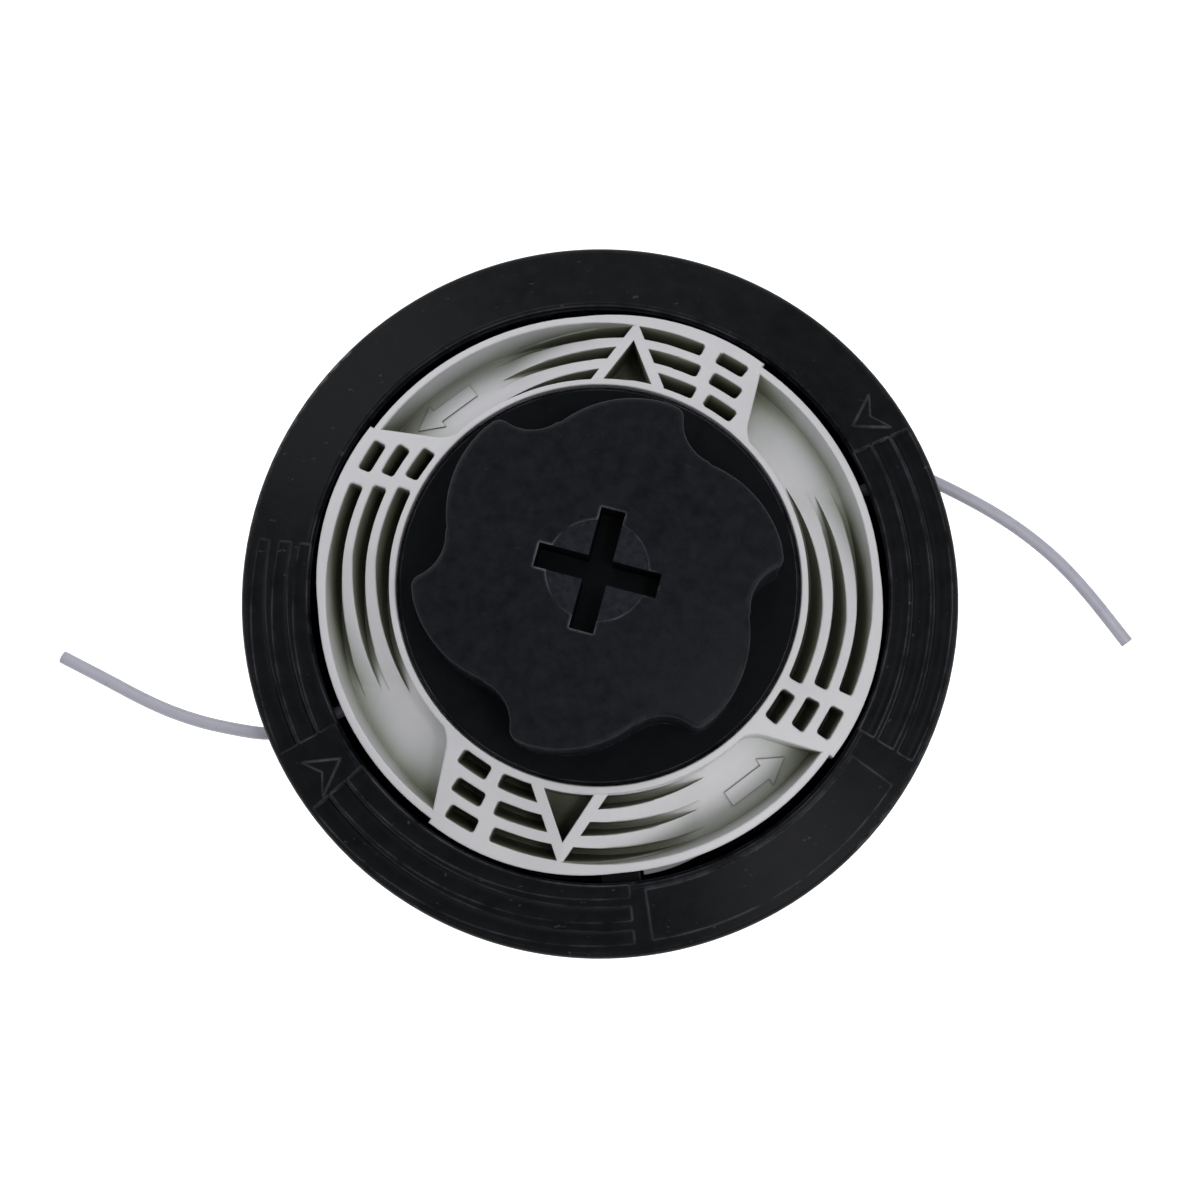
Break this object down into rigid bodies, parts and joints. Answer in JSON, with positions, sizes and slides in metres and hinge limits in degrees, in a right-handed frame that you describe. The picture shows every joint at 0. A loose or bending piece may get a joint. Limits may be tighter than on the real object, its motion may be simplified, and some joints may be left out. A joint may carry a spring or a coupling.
{
  "type": "string trimmer head",
  "caption": "Bump-feed line head for a string trimmer: wide rim, cored winding ring, lobed tap knob and two free line ends.",
  "frame": {"origin": "centre of the housing's foot, the face that rests on the gearbox flange", "axes": "+Z along the spindle towards the knob; +X and +Y in the plane of the rim, the line leaves near +X and -X"},
  "size_m": [0.1982, 0.13, 0.0561],
  "materials": {
    "black_plastic": "satin, fine moulded grain",
    "knob_plastic": "satin, fine moulded grain",
    "pale_plastic": "satin, natural nylon grey",
    "line_nylon": "smooth, slightly clear",
    "zinc_steel": "zinc plated",
    "spring_steel": "drawn wire",
    "eyelet_steel": "polished",
    "bush_brass": "turned"
  },
  "bodies": {
    "housing": {"housing": "black_plastic", "drive_nut": "zinc_steel", "spindle_bush": "bush_brass", "eyelet_right": "eyelet_steel", "eyelet_left": "eyelet_steel", "line_tail_right": "line_nylon", "line_tail_left": "line_nylon"},
    "thrust": {"spring_washer": "zinc_steel", "tap_spring": "spring_steel"},
    "spool": {"spool": "pale_plastic", "line_winding_lower": "line_nylon", "line_winding_upper": "line_nylon", "knob": "knob_plastic", "knob_nut": "zinc_steel", "spindle_bolt": "zinc_steel", "head_washer": "zinc_steel"}
  },
  "joints": [
    {"name": "tap", "type": "slide", "parent": "housing", "child": "thrust", "axis": [0, 0, 1], "range_m": [-0.005, 0], "stiffness_N_per_m": 1000, "springref_m": 0.025, "deforming": ["tap_spring"]},
    {"name": "spool_turn", "type": "hinge", "parent": "thrust", "child": "spool", "pos_m": [0, 0, 0], "axis": [0, 0, 1], "continuous": true}
  ]
}
